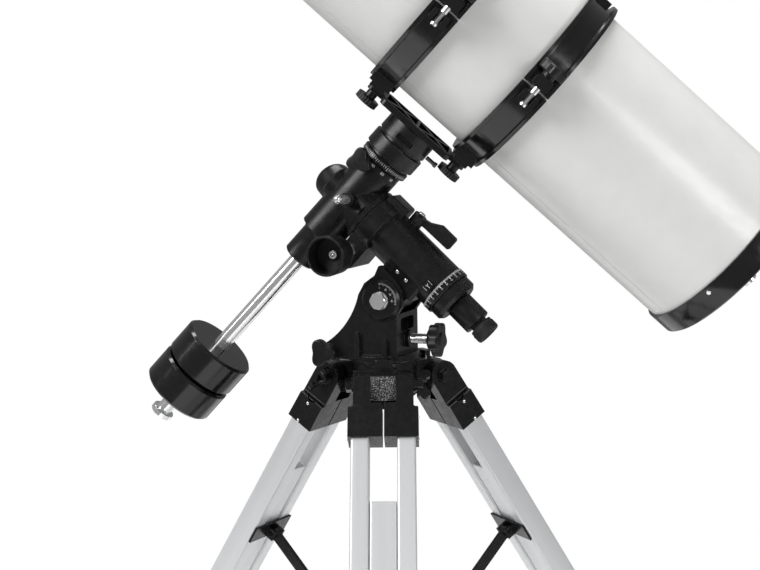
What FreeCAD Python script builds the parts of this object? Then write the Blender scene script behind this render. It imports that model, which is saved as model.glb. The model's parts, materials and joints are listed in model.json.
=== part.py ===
import FreeCAD, Part
import math
import os

# Newtonian reflector on a German equatorial mount and an aluminium tripod. Millimetres, +Z up.
# North is -X, so the polar axis rises towards -X.
# The origin is on the floor, under the middle of the outline.

# ---------------------------------------------------------------- driving dimensions
LATITUDE = 43.2          # polar axis above the horizon, degrees
HOUR_ANGLE = 6.1         # polar axis turned from its upright home position, degrees
DECLINATION = 17.4       # tube turned about the declination axis from the pole, degrees
LEG_SLOPE = 32.4         # legs from the vertical, degrees
LEG_TURN = -9.8          # tripod turned under the mount, degrees
LEG_NAMES = ("north", "front", "rear")

ORIGIN_X, ORIGIN_Y = 9.5, 42.7   # tripod axis from the middle of the outline

TUBE_R, TUBE_WALL, TUBE_LENGTH = 115.0, 1.5, 930.0
TUBE_REAR = 390.0        # declination axis to the rear end of the tube
TUBE_AXIS = 258.0        # polar axis to the tube's axis, along the declination axis
MIRROR_R, MIRROR_THICK = 101.6, 25.0
FOCUSER_X = -430.0       # focuser axis from the declination axis, along the tube
FOCUSER_ANGLE = 50.0     # focuser round the tube from straight out, degrees
FINDER_ANGLE = 5.0

RING_R, RING_WALL, RING_WIDTH, RING_SPACING = 116.0, 10.0, 37.0, 67.0
HINGE_OUT = 132.0        # ring hinge and clamp bolt from the tube's axis
PLATE_LOW, PLATE_THICK, PLATE_WIDTH, PLATE_HALF = 116.0, 8.0, 65.0, 54.0
TONGUE_HALF, TONGUE_WIDTH, TONGUE_THICK = 77.0, 30.0, 6.5   # narrow ends of the mounting plate

CROSSING = FreeCAD.Vector(-39, 0, 201)    # polar and declination axes cross here, above the flange
PIVOT = FreeCAD.Vector(12, 0, 78)         # latitude axle, above the flange
FLANGE_R, FLANGE_THICK = 43.5, 10.0
CHEEK_IN, CHEEK_OUT = 28.0, 36.0
PEG_OUT, PEG_R = 60.0, 5.0                # peg on the head that the azimuth screws push on
AZIMUTH_X, AZIMUTH_Z, AZIMUTH_SLACK = -59.0, 13.0, 0.2
DISC_R = 25.0

RA_R, RA_RING_R, RA_SHAFT_R = 31.0, 37.0, 15.0
RA_WORM_X, RA_WORM_Z = -43.0, -48.6       # worm axis in the polar frame
RA_WHEEL_R = 34.0
LEVER_Y, LEVER_Z = 6.0, -80.0             # stud of the polar clamp lever
DEC_R, DEC_SHAFT_R = 29.0, 12.0
DEC_WORM_AT, DEC_WORM_OUT, DEC_WORM_TILT = -17.0, 33.0, 31.0
DEC_WHEEL_R = 25.5
WORM_R = 8.4
DEC_WORM_R = 7.0
CUP_R, CUP_DEEP = 24.5, 30.0
BAR_R, BAR_END = 10.0, 385.0
WEIGHT_R, WEIGHT_LONG = 49.0, 43.0
WEIGHT_AT = (260.0, 306.0)

HEAD_R, HEAD_DEEP = 40.0, 46.0
HINGE_R, HINGE_DROP = 65.0, 22.0
LUG_HALF, BRACKET_HALF, BRACKET_LONG = 15.0, 42.0, 73.0
POST_R = 50.0            # posts on the front and rear lugs, from the tripod axis to their inner face
RAIL_WIDE, RAIL_DEEP, RAIL_GAP = 22.0, 30.0, 33.0
RAIL_FROM, RAIL_TO = 52.0, 490.0
INNER_FROM, INNER_TO = 150.0, 800.0
LEG_LONG = 815.0         # hinge to the middle of the foot
FOOT_R, FOOT_HIGH = 17.0, 13.0
BRACE_AT, BRACE_DROP, BRACE_LONG = 250.0, 26.0, 214.0
HUB_PIN_R = 30.0         # hub pins from the tripod axis
HUB_SLOT, SLOT_R = 24.0, 6.0   # slot for an arm's pin in the hub: length between its round ends, half width

RUN = 0.05               # running clearance of a shaft in its bore, on the radius
GAP = 0.5                # space between parts that turn against each other

V = FreeCAD.Vector
Placement, Rotation = FreeCAD.Placement, FreeCAD.Rotation
X, Y, Z = V(1, 0, 0), V(0, 1, 0), V(0, 0, 1)


# ---------------------------------------------------------------- shapes
def rod(r, low, high):
    return Part.makeCylinder(r, high - low, V(0, 0, low))


def pipe(outer, inner, low, high):
    return rod(outer, low, high).cut(rod(inner, low - 1, high + 1))


def block(x0, x1, y0, y1, z0, z1):
    return Part.makeBox(x1 - x0, y1 - y0, z1 - z0, V(x0, y0, z0))


def turned(profile):
    """A closed outline of (radius, height) points turned about Z."""
    points = [V(r, 0, z) for r, z in profile]
    return Part.Face(Part.makePolygon(points + points[:1])).revolve(V(), Z, 360)


def sheet(outline, low, high):
    """A closed outline of (x, y) points as a plate between two heights."""
    points = [V(x, y, low) for x, y in outline]
    return Part.Face(Part.makePolygon(points + points[:1])).extrude(V(0, 0, high - low))


def side_plate(outline, y0, y1):
    """A closed outline of (x, z) points as a plate between two values of y."""
    points = [V(x, y0, z) for x, z in outline]
    return Part.Face(Part.makePolygon(points + points[:1])).extrude(V(0, y1 - y0, 0))


def moved(shape, place):
    copy = shape.copy()
    copy.Placement = place.multiply(copy.Placement)
    return copy


def shifted(shape, x=0, y=0, z=0):
    return moved(shape, Placement(V(x, y, z), Rotation()))


def turned_by(shape, axis, degrees, centre=V()):
    copy = shape.copy()
    copy.rotate(centre, axis, degrees)
    return copy


def along(axis, shape):
    """A shape made along +Z, laid along another axis."""
    return moved(shape, Placement(V(), Rotation(Z, axis)))


def hexagon(across, low, high):
    r = across / math.sqrt(3)
    turns = [math.radians(60 * k) for k in range(6)]
    return sheet([(r * math.cos(a), r * math.sin(a)) for a in turns], low, high)


def rounded(shape, radius, chosen):
    """Round the edges that a test picks."""
    edges = [e for e in shape.Edges if chosen(e)]
    return shape.makeFillet(radius, edges) if edges else shape


def edge_runs(axis):
    def test(edge):
        if edge.Curve.TypeId != "Part::GeomLine":
            return False
        return abs(abs(edge.Curve.Direction.dot(axis)) - 1) < 1e-6

    return test


def is_rim(edge):
    return edge.Curve.TypeId in ("Part::GeomCircle", "Part::GeomBSplineCurve")


def lobed(count, middle, swing, low, high, soft=2.0):
    """A hand knob whose rim swells into lobes."""
    steps = 12 * count
    points = []
    for k in range(steps):
        a = 2 * math.pi * k / steps
        r = middle + swing * math.cos(count * a)
        points.append(V(r * math.cos(a), r * math.sin(a), low))
    curve = Part.BSplineCurve()
    curve.interpolate(points, PeriodicFlag=True)
    solid = Part.Face(Part.Wire(curve.toShape())).extrude(V(0, 0, high - low))
    return solid.makeFillet(soft, [e for e in solid.Edges if e.Closed])


def fused(*shapes):
    shape = shapes[0].multiFuse(list(shapes[1:])) if len(shapes) > 1 else shapes[0]
    return shape.removeSplitter()


def group(*shapes):
    return Part.makeCompound([s for shape in shapes for s in shape.Solids])


# ---------------------------------------------------------------- frames
FLANGE_UP = HINGE_DROP + LEG_LONG * math.cos(math.radians(LEG_SLOPE)) + FOOT_HIGH
BASE = Placement(V(ORIGIN_X, ORIGIN_Y, FLANGE_UP), Rotation())
# polar frame: z up the polar axis, y to the east, x the home direction of the declination axis
POLAR = BASE.multiply(Placement(CROSSING, Rotation(Y, LATITUDE - 90)))
TURNED = POLAR.multiply(Placement(V(), Rotation(Z, HOUR_ANGLE)))
# declination frame: z out along the declination axis, x to the tube's rear end when it points at the pole
DEC = TURNED.multiply(Placement(V(), Rotation(Y, 90)))
CRADLE = DEC.multiply(Placement(V(), Rotation(Z, DECLINATION)))
TUBE = CRADLE.multiply(Placement(V(0, 0, TUBE_AXIS), Rotation()))
PIVOT_X = (PIVOT - CROSSING).dot(Rotation(Y, LATITUDE - 90).multVec(X))
PIVOT_Z = (PIVOT - CROSSING).dot(Rotation(Y, LATITUDE - 90).multVec(Z))


def head_frame(k):
    """At the flange, x out towards leg k."""
    return BASE.multiply(Placement(V(), Rotation(Z, 180 + LEG_TURN + 120 * k)))


def leg_frame(k):
    """At the leg's hinge: z down the leg, x in towards the tripod's axis."""
    return head_frame(k).multiply(Placement(V(HINGE_R, 0, -HINGE_DROP), Rotation(Y, 180 - LEG_SLOPE)))


def round_tube(degrees):
    """Out from the tube's axis at an angle round it: z outwards, x along the tube."""
    return TUBE.multiply(Placement(V(), Rotation(X, degrees)))


# ---------------------------------------------------------------- tripod
def tripod_head():
    core = turned([(0, -0.1), (HEAD_R - 1, -0.1), (HEAD_R, -1.5), (HEAD_R, -HEAD_DEEP + 3),
                   (HEAD_R - 3, -HEAD_DEEP), (0, -HEAD_DEEP)])
    shapes = [core]
    for k in range(3):
        spin = 180 + LEG_TURN + 120 * k
        lug = side_plate([(20, -4), (HINGE_R + 6, -4), (HINGE_R + 14, -9), (HINGE_R + 16, -38),
                          (HINGE_R + 10, -44), (20, -44)], -LUG_HALF, LUG_HALF)
        rib = block(25, HINGE_R - 4, -11.5, 11.5, -8, -1.5)
        rib = rounded(rib, 3, edge_runs(X))
        shapes += [turned_by(lug, Z, spin), turned_by(rib, Z, spin)]
        if k:
            post = rounded(block(POST_R, POST_R + 11, -11.5, 11.5, -12, 7.5), 4.5, edge_runs(Z))
            shapes.append(turned_by(rounded(post, 1, lambda e: abs(e.BoundBox.ZMin - 7.5) < 1e-3), Z, spin))
    peg_seat = turned_by(block(20, 72, -9, 9, -10, -0.6), Z, 180 + LEG_TURN)
    head = fused(*shapes, peg_seat).cut(rod(7, -60, 5))
    for k in range(3):
        bore = shifted(along(Y, rod(5 + RUN, -30, 30)), HINGE_R, 0, -HINGE_DROP)
        head = head.cut(turned_by(bore, Z, 180 + LEG_TURN + 120 * k))
    return moved(head, BASE)


def head_fittings():
    """The bare faces of the three lugs, the azimuth peg and the bolt that holds the mount."""
    shapes = []
    for k in range(3):
        outline = [(14.2, -9), (16.2, -9.4), (18.2, -38), (16.2, -38)]
        face = side_plate([(HINGE_R + x, z) for x, z in outline], -LUG_HALF, LUG_HALF)
        shapes.append(moved(face, head_frame(k)))
    peg = shifted(fused(rod(PEG_R, -0.6, 22), rod(7, -0.6, 3)), PEG_OUT)
    shapes.append(moved(peg, head_frame(0)))
    stem = fused(rod(5, -HEAD_DEEP - 2, 5), rod(14, -HEAD_DEEP - 16, -HEAD_DEEP - 0.1))
    shapes.append(moved(stem, BASE))
    return group(*shapes)


def hinge_bolts():
    """Through each bracket and lug: a hex head on one side, a wing nut on the other."""
    shapes = []
    for k in range(3):
        bolt = fused(rod(5, -46, 44), rod(9.5, -38.5, -36.1), hexagon(15, -45, -38.5), rod(9.5, 36.1, 38.2))
        nut = rod(8, 38.3, 48)
        for turn in (78, 258):
            wing = fused(block(5, 15, -2.5, 2.5, 40, 52), shifted(along(Y, rod(6, -2.5, 2.5)), 14, 0, 51))
            nut = nut.fuse(turned_by(wing, Z, turn))
        nut = nut.cut(rod(5, 30, 60))
        place = leg_frame(k).multiply(Placement(V(), Rotation(Z, Y)))
        shapes += [moved(bolt, place), moved(nut, place)]
    return group(*shapes)


def leg_bracket(k):
    """Two cast halves that hold the rails and carry the hinge."""
    shapes = []
    for side in (-1, 1):
        profile = Part.Face(Part.Wire([
            Part.makeLine(V(-18, 0, 0), V(-19, 0, BRACKET_LONG)),
            Part.makeLine(V(-19, 0, BRACKET_LONG), V(19, 0, BRACKET_LONG)),
            Part.makeLine(V(19, 0, BRACKET_LONG), V(18, 0, 0)),
            Part.Arc(V(18, 0, 0), V(0, 0, -18), V(-18, 0, 0)).toShape()]))
        body = shifted(profile, 0, 1.25, 0).extrude(V(0, BRACKET_HALF - 1.25, 0))
        body = body.cut(block(-30, 30, 0, LUG_HALF + 0.4, -30, 30))
        body = body.cut(block(-30, 30, BRACKET_HALF - 6, 60, -30, 34))
        body = rounded(body, 2.5,
                       lambda e: abs(e.BoundBox.ZLength) < 1e-3 and abs(e.BoundBox.ZMin - 34) < 1e-3)
        socket = block(-RAIL_DEEP / 2, RAIL_DEEP / 2, RAIL_GAP / 2, RAIL_GAP / 2 + RAIL_WIDE, RAIL_FROM, 99)
        notch = shifted(along(Y, rod(7, 0, 60)), 0, 0, 32)
        crescent = notch.cut(shifted(along(Y, rod(9, 0, 60)), 0, 0, 27)).common(
            block(-30, 30, BRACKET_HALF - 9, 60, -30, 60))
        body = body.cut(socket).cut(along(Y, rod(5 + RUN, 0, 60))).cut(crescent)
        body = body if side > 0 else body.mirror(V(), Y)
        shapes.append(moved(body, leg_frame(k)))
    return group(*shapes)


def leg_rails(k):
    """The two upper rails, the clamp block at their lower end and its lock knob."""
    shapes = []
    for side in (-1, 1):
        middle = side * (RAIL_GAP + RAIL_WIDE) / 2
        rail = block(-RAIL_DEEP / 2, RAIL_DEEP / 2, middle - RAIL_WIDE / 2, middle + RAIL_WIDE / 2,
                     RAIL_FROM + 0.2, RAIL_TO)
        rail = rounded(rail, 3, edge_runs(Z))
        rail = rail.cut(block(-RAIL_DEEP / 2 + 2, RAIL_DEEP / 2 - 2, middle - RAIL_WIDE / 2 + 2,
                              middle + RAIL_WIDE / 2 - 2, RAIL_FROM, RAIL_TO + 1))
        shapes.append(rail)
    half = RAIL_GAP / 2 + RAIL_WIDE + 3
    clamp = rounded(block(-19, 19, -half, half, RAIL_TO - 30, RAIL_TO + 14), 4, edge_runs(Z))
    for side in (-1, 1):
        middle = side * (RAIL_GAP + RAIL_WIDE) / 2
        clamp = clamp.cut(block(-15.1, 15.1, middle - 11.1, middle + 11.1, RAIL_TO - 31, RAIL_TO + 0.1))
    clamp = clamp.cut(block(-13, 13, -16.5, 16.5, RAIL_TO - 31, RAIL_TO + 15))
    clamp = clamp.cut(shifted(along(X, rod(4, -40, 0)), 0, 0, RAIL_TO - 8))
    knob = fused(rod(3.9, 13.2, 24), lobed(3, 14, 3, 24, 36))
    knob = shifted(along(X * -1, knob), 0, 0, RAIL_TO - 8)
    reach = RAIL_GAP / 2 + RAIL_WIDE
    bridge = block(15.1, 18, -reach, reach, BRACE_AT - 12, BRACE_AT + 12)
    ears = []
    for side in (-1, 1):
        ear = block(17, BRACE_DROP + 6, side * 9 - 2, side * 9 + 2, BRACE_AT - 6, BRACE_AT + 6)
        ears.append(ear)
    pin = shifted(along(Y, rod(3, -13, 13)), BRACE_DROP, 0, BRACE_AT)
    bridge = fused(bridge, *ears).cut(shifted(along(Y, rod(3, -13, 13)), BRACE_DROP, 0, BRACE_AT))
    return moved(group(*shapes, clamp, knob, bridge, pin), leg_frame(k))


def leg_inner(k):
    """The sliding rail with its foot, whose pad lies flat on the floor."""
    rail = rounded(block(-12.5, 12.5, -16, 16, INNER_FROM, INNER_TO), 3, edge_runs(Z))
    rail = rail.cut(block(-10.5, 10.5, -14, 14, INNER_FROM - 1, INNER_TO - 30))
    sleeve = rounded(block(-15, 15, -18.5, 18.5, INNER_TO - 40, INNER_TO + 4), 4, edge_runs(Z))
    sleeve = sleeve.cut(block(-12.6, 12.6, -16.1, 16.1, INNER_TO - 41, INNER_TO + 0.1))
    pad = turned([(0, -FOOT_HIGH), (FOOT_R - 2, -FOOT_HIGH), (FOOT_R, -FOOT_HIGH + 2), (FOOT_R, -4),
                  (12, 4), (0, 6)])
    upright = leg_frame(k).Rotation.inverted()
    pad = moved(pad, Placement(V(0, 0, LEG_LONG), upright))
    ball = shifted(Part.makeSphere(11), 0, 0, INNER_TO + 11.1)
    foot = fused(sleeve, ball, pad)
    return moved(group(rail, foot), leg_frame(k))


def brace_angle():
    """The arm's slope below the horizontal, from where its two ends are."""
    slope = math.radians(LEG_SLOPE)
    inward = HINGE_R + BRACE_AT * math.sin(slope) - BRACE_DROP * math.cos(slope)
    return math.degrees(math.acos((inward - HUB_PIN_R) / BRACE_LONG))


def brace_pivot():
    """The arm's leg end in the head frame."""
    slope = math.radians(LEG_SLOPE)
    out = HINGE_R + BRACE_AT * math.sin(slope) - BRACE_DROP * math.cos(slope)
    down = HINGE_DROP + BRACE_AT * math.cos(slope) + BRACE_DROP * math.sin(slope)
    return V(out, 0, -down)


def hub_height():
    return brace_pivot().z - BRACE_LONG * math.sin(math.radians(brace_angle()))


def brace(k):
    """A brace arm: one eye on the leg, a fork with its pin in a slot of the hub."""
    web = BRACE_LONG - 50
    arm = fused(block(0, web, -3.5, 3.5, -6, 6), along(Y, rod(7, -6, 6)),
                block(web - 8, web + 2, -7.5, 7.5, -6, 6))
    for side in (-1, 1):
        cheek = block(web, BRACE_LONG, side * 5.5 - 2, side * 5.5 + 2, -6, 6)
        cheek = cheek.fuse(shifted(along(Y, rod(6, side * 5.5 - 2, side * 5.5 + 2)), BRACE_LONG))
        arm = arm.fuse(cheek)
    arm = arm.cut(along(Y, rod(3 + RUN, -20, 20)))
    arm = fused(arm, shifted(along(Y, rod(2.5, -8.5, 8.5)), BRACE_LONG))
    # the arm's +x leads inwards and down
    lie = Placement(brace_pivot(), Rotation(Y, 180 - brace_angle()))
    return moved(arm, head_frame(k).multiply(lie))


def tray():
    """The hub with a slotted tab for each arm, and the accessory tray under it."""
    z = hub_height()
    hub = rod(17, z - 34, z + 12)
    plate = []
    for k in range(3):
        a = 180 + LEG_TURN + 120 * k
        tab = block(10, HUB_PIN_R + 10, -3, 3, z - HUB_SLOT - 9, z + 10)
        tab = tab.cut(block(HUB_PIN_R - SLOT_R, HUB_PIN_R + SLOT_R, -5, 5, z - HUB_SLOT, z))
        for end in (z - HUB_SLOT, z):
            tab = tab.cut(shifted(along(Y, rod(SLOT_R, -5, 5)), HUB_PIN_R, 0, end))
        hub = hub.fuse(turned_by(tab, Z, a))
        lobe = fused(shifted(rod(38, z - 46, z - 40), 86),
                     sheet([(0, -40), (86, -38), (86, 38), (0, 40)], z - 46, z - 40))
        wells = [shifted(rod(16, z - 60, z - 30), 92, side * 17) for side in (-1, 1)]
        for well in wells:
            lobe = lobe.cut(well)
        plate.append(turned_by(lobe, Z, a + 60))
    plate = fused(*plate, rod(46, z - 46, z - 40))
    hub = fused(hub, rod(30, z - 40, z - 34), plate)
    return moved(hub, BASE)


# ---------------------------------------------------------------- mount base
def mount_base():
    sweep = Part.Arc(V(-19, 0, 84), V(-34, 0, 51), V(-62, 0, 24)).toShape()
    corners = [(-62, 24), (-68, 19), (-68, 4), (31, 4), (31, 60), (38, 70), (38, 90), (30, 102), (20, 112),
               (9, 121), (3, 108), (-11, 98), (-19, 84)]
    path = Part.makePolygon([V(x, 0, z) for x, z in corners])
    face = Part.Face(Part.Wire([sweep] + path.Edges))
    cheeks = []
    for low in (CHEEK_IN, -CHEEK_OUT):
        cheek = shifted(face, 0, low, 0).extrude(V(0, CHEEK_OUT - CHEEK_IN, 0))
        cheeks.append(rounded(cheek, 2, lambda e: edge_runs(Y)(e) and e.BoundBox.ZMin > 95))
    window = rounded(block(20, 40, -22, 22, 38, 54), 4, edge_runs(X))
    rear = block(23, 31, -CHEEK_OUT, CHEEK_OUT, 4, 60).cut(window)
    rear = rear.fuse(shifted(along(X, rod(11, 20, 36)), 0, 0, 27))
    flange = turned([(0, 0), (FLANGE_R - 1, 0), (FLANGE_R, 1), (FLANGE_R, FLANGE_THICK - 2),
                     (FLANGE_R - 2, FLANGE_THICK), (0, FLANGE_THICK)])
    shapes = cheeks + [rear, flange]
    for side in (-1, 1):
        disc = turned([(0, 0), (DISC_R, 0), (DISC_R, 4), (DISC_R - 3, 7), (0, 7)])
        disc = moved(disc, Placement(V(PIVOT.x, side * (CHEEK_OUT - 0.5), PIVOT.z), Rotation(Z, Y * side)))
        shapes.append(disc)
        for x, top in ((-20, 35), (16, 28)):
            rib = block(x - 3, x + 3, 30, 41, 5, top).fuse(shifted(along(Y, rod(3, 30, 41)), x, 0, top))
            shapes.append(rib if side > 0 else rib.mirror(V(), Y))
        boss = rod(9, CHEEK_IN, CHEEK_OUT + 4)
        shapes.append(moved(boss, Placement(V(AZIMUTH_X, 0, AZIMUTH_Z), Rotation(Z, Y * side))))
    base = fused(*shapes)
    base = base.cut(shifted(rod(30, -1, 6), 0, 0, -1)).fuse(rod(31, 4, 6))
    base = base.cut(shifted(along(Y, rod(6 + RUN, -60, 60)), PIVOT.x, 0, PIVOT.z))
    base = base.cut(shifted(along(Y, rod(4 + RUN, -60, 60)), AZIMUTH_X, 0, AZIMUTH_Z))
    base = base.cut(shifted(along(X, rod(6 + RUN, 10, 60)), 0, 0, 27))
    base = base.cut(rod(7, -5, 20))
    base = base.cut(block(-90, -47, -CHEEK_IN, CHEEK_IN, -1, 40))
    return moved(base.removeSplitter(), BASE)


def azimuth_bolt(side):
    """A hand screw whose end stands against the peg; the far one is screwed further out."""
    peg = PEG_OUT * math.sin(math.radians(180 + LEG_TURN))
    end = side * peg + PEG_R + AZIMUTH_SLACK
    knob = 50 if side < 0 else 70
    screw = fused(rod(4, end, knob + 2), rod(8, knob - 7.5, knob), lobed(3, 15, 3, knob, knob + 12))
    return moved(screw, BASE.multiply(Placement(V(AZIMUTH_X, 0, AZIMUTH_Z), Rotation(Z, Y * side))))


def latitude_axle():
    axle = fused(rod(6, -45, 45), hexagon(19, 43.1, 51), rod(11, 42.6, 44.2),
                 hexagon(19, -51, -43.1), rod(11, -44.2, -42.6))
    chamfer = turned([(0, -51), (9.4, -51), (12.4, -48), (12.4, 48), (9.4, 51), (0, 51)])
    return moved(axle.common(chamfer), BASE.multiply(Placement(PIVOT, Rotation(Z, Y))))


def latitude_screw():
    """Pushes on the tail of the polar housing from the south."""
    knob = fused(rod(6, 22, 64), turned([(0, 60), (12, 60), (14, 63), (14, 64), (0, 64)]),
                 lobed(5, 19.5, 2.5, 64, 76), turned([(0, 76), (9, 76), (8, 78), (0, 78)]))
    return moved(along(X, knob), BASE.multiply(Placement(V(0, 0, 27), Rotation())))


# ---------------------------------------------------------------- polar axis, on the latitude axle
def ra_housing():
    body = turned([(0, -159), (RA_R, -159), (RA_R, -62), (RA_RING_R - 1, -61), (RA_RING_R, -60),
                   (RA_RING_R, -38), (RA_RING_R - 1, -37), (0, -37)])
    worm_block = rounded(block(-60, -20, -30, 30, -64, -37), 4, edge_runs(Y))
    tail = shifted(along(Y, rod(20, -25.5, 25.5)), PIVOT_X, 0, PIVOT_Z)
    web = block(PIVOT_X, -8, -25.5, 25.5, PIVOT_Z - 20, PIVOT_Z + 20)
    saddle = block(-34, -6, -27.4, 27.4, PIVOT_Z - 26, PIVOT_Z + 30)
    saddle = rounded(saddle, 5, edge_runs(X))
    screw_plate = block(-26, -10, -27.5, 27.5, -134, -104)
    boss = shifted(along(X, rod(9, 20, 33)), 0, LEVER_Y, LEVER_Z)
    clamp_block = rounded(block(20, 43, -14, 14, -68, -39), 4, lambda e: e.BoundBox.XMin > 42)
    end = turned([(0, -188), (26, -188), (RA_R - 1, -184), (RA_R - 1, -172.5), (0, -172.5)])
    neck = rod(26, -175, -155)
    pointer = block(-6, 6, -36, -28, -156, -148)
    body = fused(body, worm_block, tail, web, saddle, screw_plate, boss, clamp_block, neck, end, pointer)
    bore = rod(RA_SHAFT_R + RUN, -190, 0)
    wheel_room = rod(RA_WHEEL_R + GAP, -57, -41)
    worm_room = shifted(along(Y, rod(WORM_R + GAP, -24, 31)), RA_WORM_X, 0, RA_WORM_Z)
    shaft_room = shifted(along(Y, rod(5 + RUN, -40, 31)), RA_WORM_X, 0, RA_WORM_Z)
    stud = shifted(along(X, rod(3 + RUN, 20, 60)), 0, LEVER_Y, LEVER_Z)
    pivot = shifted(along(Y, rod(6 + RUN, -60, 60)), PIVOT_X, 0, PIVOT_Z)
    body = body.cut(bore).cut(wheel_room).cut(worm_room).cut(shaft_room).cut(stud).cut(pivot)
    return moved(body, POLAR)


def ra_circle():
    ring = pipe(RA_R + 1, 26 + RUN, -171.5, -159.5)
    rims = [e for e in ring.Edges if is_rim(e) and e.BoundBox.XLength > 60]
    return moved(ring.makeChamfer(0.8, rims), POLAR)


def polar_scope():
    """The sight through the hollow polar shaft: a long tube with a flared rear."""
    flare = turned([(9, -222), (16, -222), (17.5, -220.5), (17.5, -190), (16, -188.6), (9, -188.6)])
    return moved(fused(pipe(11, 9, -226, -27.5), flare), POLAR)


def polar_eyepiece():
    cup = turned([(8, -242), (14.5, -242), (16, -240), (16, -232), (15, -230), (15, -226.5), (11.2, -226.5),
                  (8, -228)])
    return moved(cup.fuse(rod(8.5, -236, -232)), POLAR)


def ra_worm():
    """The worm on its shaft with the hex nut on the end that the knob fits."""
    shaft = fused(rod(5, -20, 44), rod(WORM_R, -14, 14), hexagon(17, 30.5, 37), rod(5, 37, 78))
    return moved(along(Y * -1, shaft), POLAR.multiply(Placement(V(RA_WORM_X, 0, RA_WORM_Z), Rotation())))


def cup_knob(low):
    """A deep cup on a stem, open at the outer end."""
    rim = low + 22 + CUP_DEEP
    return turned([(5 + RUN, low), (9, low), (11, low + 4), (CUP_R - 3, low + 16), (CUP_R - 0.8, low + 22),
                   (CUP_R, rim - 2), (CUP_R - 1, rim), (CUP_R - 3, rim), (CUP_R - 4, low + 26),
                   (7.5, low + 24), (5 + RUN, low + 24)])


def ra_knob():
    knob = cup_knob(50)
    return moved(along(Y * -1, knob), POLAR.multiply(Placement(V(RA_WORM_X, 0, RA_WORM_Z), Rotation())))


def ra_lever():
    """Locks the polar axis: a knurled hub on a stud, with a paddle that points south."""
    hub = rod(9, 33.3, 44)
    for k in range(24):
        hub = hub.cut(turned_by(shifted(rod(0.8, 32, 43), 9.2), Z, 15 * k))
    # seen from the side: x along the housing, z away from it
    paddle = side_plate([(0, 35), (0, 43), (14, 46), (29, 55), (52, 55), (54, 53), (54, 39), (52, 37), (14, 36)],
                        -3.5, 3.5)
    paddle = rounded(paddle, 1.5, lambda e: abs(e.BoundBox.YLength) < 1e-6 and e.BoundBox.XMin > 10)
    lever = fused(hub, paddle, rod(3, 26, 47))
    return moved(lever, POLAR.multiply(Placement(V(0, LEVER_Y, LEVER_Z), Rotation(Y, 90))))


# ---------------------------------------------------------------- declination housing, on the polar shaft
DEC_WORM_PLACE = Placement(V(DEC_WORM_AT, DEC_WORM_OUT * math.cos(math.radians(DEC_WORM_TILT)),
                             -DEC_WORM_OUT * math.sin(math.radians(DEC_WORM_TILT))), Rotation(X, -DEC_WORM_TILT))


CLAMP_PLACE = Placement(V(50, 0, 9), Rotation(Z, Y * -1))


def dec_housing():
    body = along(X, turned([(0, -104), (20, -104), (22, -102), (22, -66), (24, -62), (DEC_R, -60), (DEC_R, 55),
                            (DEC_R - 1, 57), (0, 57)]))
    neck = turned([(0, -36.5), (RA_RING_R - 1, -36.5), (RA_RING_R, -35.5), (RA_RING_R, -31), (33, -27),
                   (30, -8), (0, -8)])
    cap = turned([(0, 8), (22, 8), (22, 31), (20, 33), (0, 33)])
    worm_block = moved(rounded(block(-12, 12, -14, 12, -15.2, 27), 4, edge_runs(Z)), DEC_WORM_PLACE)
    clamp_boss = moved(rod(7, 20, 44), CLAMP_PLACE)
    pin_boss = moved(rod(9, 20, 45), Placement(V(2, 0, -8), Rotation(Z, Y * -1)))
    body = fused(body, neck, cap, worm_block, clamp_boss, pin_boss)
    cuts = [along(X, rod(DEC_SHAFT_R + RUN, -63, 60)), along(X, rod(BAR_R + RUN, -110, -60)),
            along(X, shifted(rod(DEC_WHEEL_R + GAP, -8, 8), 0, 0, DEC_WORM_AT)),
            moved(rod(DEC_WORM_R + GAP, -12.5, 28), DEC_WORM_PLACE), moved(rod(4 + RUN, -20, 40), DEC_WORM_PLACE),
            rod(13, -40, -14), moved(rod(4 + RUN, 15, 50), CLAMP_PLACE),
            moved(rod(5.5 + RUN, 30, 50), Placement(V(2, 0, -8), Rotation(Z, Y * -1)))]
    for cut in cuts:
        body = body.cut(cut)
    return moved(body, TURNED)


def ra_shaft():
    """The hollow polar shaft with its worm wheel, and the steel stub pin of the housing above."""
    shaft = pipe(RA_SHAFT_R, 11.5, -187.5, -36.5).fuse(pipe(12.9, 11.5, -37, -27.5))
    wheel = pipe(RA_WHEEL_R, RA_SHAFT_R, -56, -42)
    teeth = [turned_by(shifted(rod(0.9, -57, -41), RA_WHEEL_R + 0.3), Z, 5 * k) for k in range(72)]
    wheel = wheel.cut(Part.makeCompound(teeth))
    pin = moved(turned([(0, 30.2), (5.5, 30.2), (5.5, 76), (4.5, 79), (2.5, 81), (0, 81.6)]),
                Placement(V(2, 0, -8), Rotation(Z, Y * -1)))
    return moved(group(shaft, wheel, pin), TURNED)


def counterweight_bar():
    bar = turned([(0, -BAR_END), (14, -BAR_END), (15, -BAR_END + 1), (15, -BAR_END + 7), (14, -BAR_END + 8),
                  (BAR_R, -BAR_END + 8), (BAR_R, -63.5), (0, -63.5)])
    return moved(along(X, bar), TURNED)


def dec_worm():
    shaft = fused(rod(4, -15, 56), rod(DEC_WORM_R, -12, 12), hexagon(13, 27.5, 33))
    return moved(shaft, TURNED.multiply(DEC_WORM_PLACE))


def dec_knob():
    knob = cup_knob(34).fuse(pipe(5.5, 4 + RUN, 34, 58))
    return moved(knob, TURNED.multiply(DEC_WORM_PLACE))


def dec_clamp_knob():
    knob = fused(rod(4, 15, 50), rod(8, 44.5, 50), turned_by(lobed(3, 13.5, 3, 50, 61), Z, 30))
    return moved(knob, TURNED.multiply(CLAMP_PLACE))


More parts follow.
